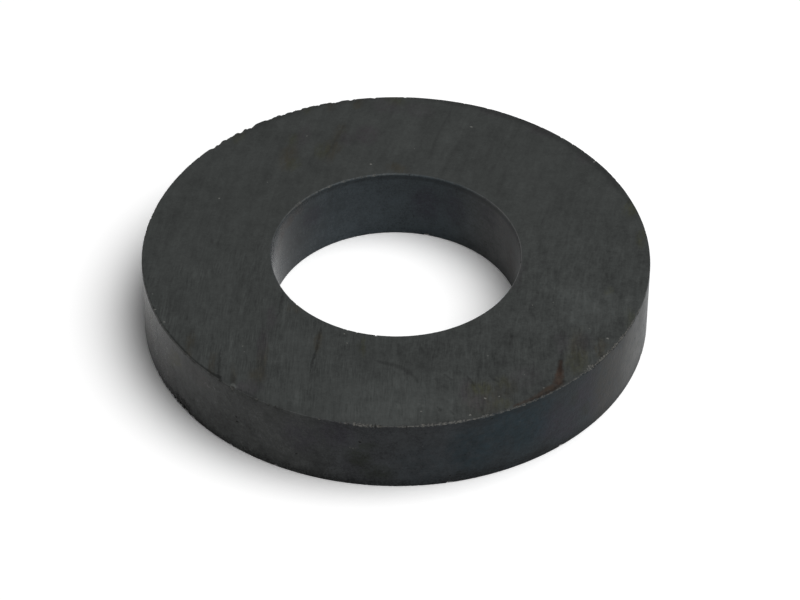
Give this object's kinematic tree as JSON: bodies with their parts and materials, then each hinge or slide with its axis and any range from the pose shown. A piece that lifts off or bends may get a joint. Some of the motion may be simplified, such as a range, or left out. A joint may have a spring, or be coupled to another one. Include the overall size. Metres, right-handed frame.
{
  "type": "ring magnet",
  "caption": "Flat dark-grey sintered ferrite ring magnet with a plain round bore, ground pole faces, straight walls and a lightly chipped rim.",
  "frame": {"origin": "centre of the lower pole face, on the bore axis, where the ring rests", "axes": "+Z along the bore axis towards the upper pole face; +X to the right and -Y towards the viewer as the ring lies"},
  "size_m": [0.065, 0.065, 0.01],
  "materials": {
    "ferrite": "dark charcoal sintered ferrite, pole faces surface-ground with fine arcs, walls satin as fired"
  },
  "bodies": {
    "root": {"ring_magnet": "ferrite"}
  },
  "joints": []
}
